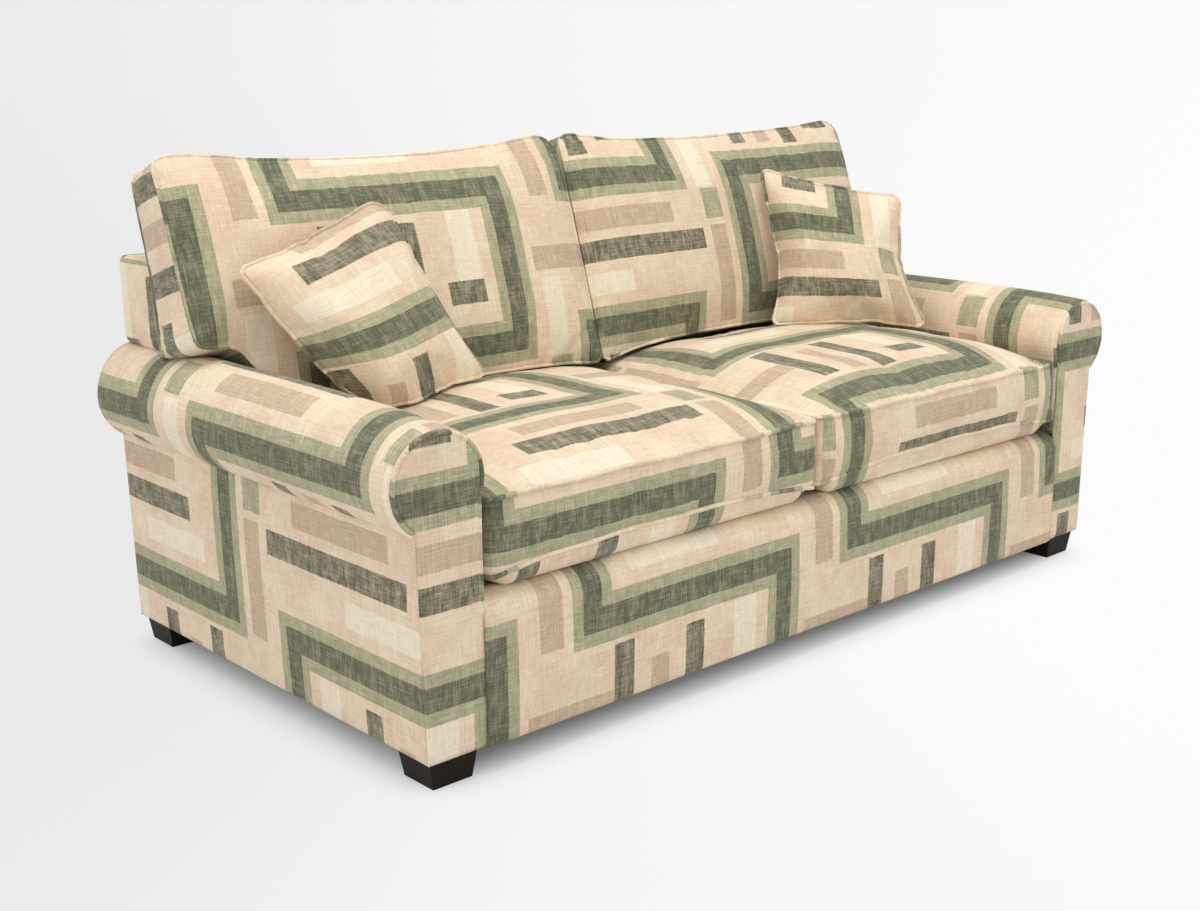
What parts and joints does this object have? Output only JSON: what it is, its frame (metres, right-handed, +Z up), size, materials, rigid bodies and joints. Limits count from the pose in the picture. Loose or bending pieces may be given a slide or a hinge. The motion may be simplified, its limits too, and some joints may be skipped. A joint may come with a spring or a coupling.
{
  "type": "sofa",
  "caption": "Three-seater sofa with rolled scroll arms, piped facings, loose box seat cushions, winged back cushions, scatter cushions and tapered block feet.",
  "frame": {"origin": "bottom centre of the sofa, on the floor under the middle of its width and depth", "axes": "+X along the width to the sitter's left, seen from the front to the right; the front faces -Y; +Z up"},
  "size_m": [1.95, 0.98, 0.96],
  "materials": {
    "printed_linen": "slub linen weave, printed geometric in cream, tan and green",
    "espresso_wood": "espresso stain, satin lacquer",
    "beech": "planed beech",
    "plywood": "birch plywood",
    "spring_steel": "zinc-plated",
    "zip_metal": "nickel-plated",
    "zip_tape": "woven tape with moulded teeth",
    "webbing": "elasticated woven webbing",
    "platform_cloth": "plain pale blue-grey twill",
    "dust_cloth": "black non-woven",
    "foam": "cut polyurethane foam",
    "fibre": "fibre filling in cambric"
  },
  "bodies": {
    "frame": {"front_rail": "beech", "back_rail": "beech", "side_rail_left": "beech", "side_rail_right": "beech", "facing_board_left": "plywood", "facing_board_right": "plywood", "arm_rail_left": "beech", "arm_rail_right": "beech", "back_stile_left": "beech", "back_stile_right": "beech", "back_centre_stile": "beech", "back_top_rail": "beech", "rear_seat_rail": "beech", "seat_bearer": "beech", "corner_blocks": "beech", "foot_plates": "plywood", "foot_bolts": "spring_steel", "foot_front_left": "espresso_wood", "foot_front_right": "espresso_wood", "foot_rear_left": "espresso_wood", "foot_rear_right": "espresso_wood", "seat_springs": "spring_steel", "spring_clips": "spring_steel", "back_webbing": "webbing", "deck_pad": "fibre", "deck_cloth": "platform_cloth", "dust_cover": "dust_cloth", "front_cover": "printed_linen", "arm_pad_left": "foam", "arm_pad_right": "foam", "arm_cover_left": "printed_linen", "arm_cover_right": "printed_linen", "outside_arm_left": "printed_linen", "outside_arm_right": "printed_linen", "facing_cover_left": "printed_linen", "facing_cover_right": "printed_linen", "facing_piping_left": "printed_linen", "facing_piping_right": "printed_linen", "back_cover": "printed_linen", "outside_back": "printed_linen"},
    "seat_left": {"seat_cover_left": "printed_linen", "seat_core_left": "foam", "seat_zip_left": "zip_tape"},
    "seat_left_slider": {"seat_zip_slider_left": "zip_metal"},
    "seat_right": {"seat_cover_right": "printed_linen", "seat_core_right": "foam", "seat_zip_right": "zip_tape"},
    "seat_right_slider": {"seat_zip_slider_right": "zip_metal"},
    "back_left": {"back_cushion_cover_left": "printed_linen", "back_cushion_core_left": "fibre", "back_zip_left": "zip_tape"},
    "back_left_slider": {"back_zip_slider_left": "zip_metal"},
    "back_right": {"back_cushion_cover_right": "printed_linen", "back_cushion_core_right": "fibre", "back_zip_right": "zip_tape"},
    "back_right_slider": {"back_zip_slider_right": "zip_metal"},
    "scatter_left": {"scatter_cover_left": "printed_linen", "scatter_pad_left": "fibre"},
    "scatter_right": {"scatter_cover_right": "printed_linen", "scatter_pad_right": "fibre"}
  },
  "joints": [
    {"name": "seat_left_pull", "type": "slide", "parent": "frame", "child": "seat_left", "axis": [0, -1, 0], "range_m": [0, 0.76]},
    {"name": "seat_left_zip", "type": "slide", "parent": "seat_left", "child": "seat_left_slider", "axis": [-1, 0, 0], "range_m": [0, 0.6]},
    {"name": "back_left_lift", "type": "slide", "parent": "frame", "child": "back_left", "axis": [0, 0.2756, 0.9613], "range_m": [0, 0.56]},
    {"name": "back_left_zip", "type": "slide", "parent": "back_left", "child": "back_left_slider", "axis": [-1, 0, 0], "range_m": [0, 0.6]},
    {"name": "scatter_left_lift", "type": "slide", "parent": "frame", "child": "scatter_left", "axis": [0, 0, 1], "range_m": [0, 0.48]},
    {"name": "seat_right_pull", "type": "slide", "parent": "frame", "child": "seat_right", "axis": [0, -1, 0], "range_m": [0, 0.76]},
    {"name": "seat_right_zip", "type": "slide", "parent": "seat_right", "child": "seat_right_slider", "axis": [1, 0, 0], "range_m": [0, 0.6]},
    {"name": "back_right_lift", "type": "slide", "parent": "frame", "child": "back_right", "axis": [0, 0.2756, 0.9613], "range_m": [0, 0.56]},
    {"name": "back_right_zip", "type": "slide", "parent": "back_right", "child": "back_right_slider", "axis": [1, 0, 0], "range_m": [0, 0.6]},
    {"name": "scatter_right_lift", "type": "slide", "parent": "frame", "child": "scatter_right", "axis": [0, 0, 1], "range_m": [0, 0.48]}
  ]
}
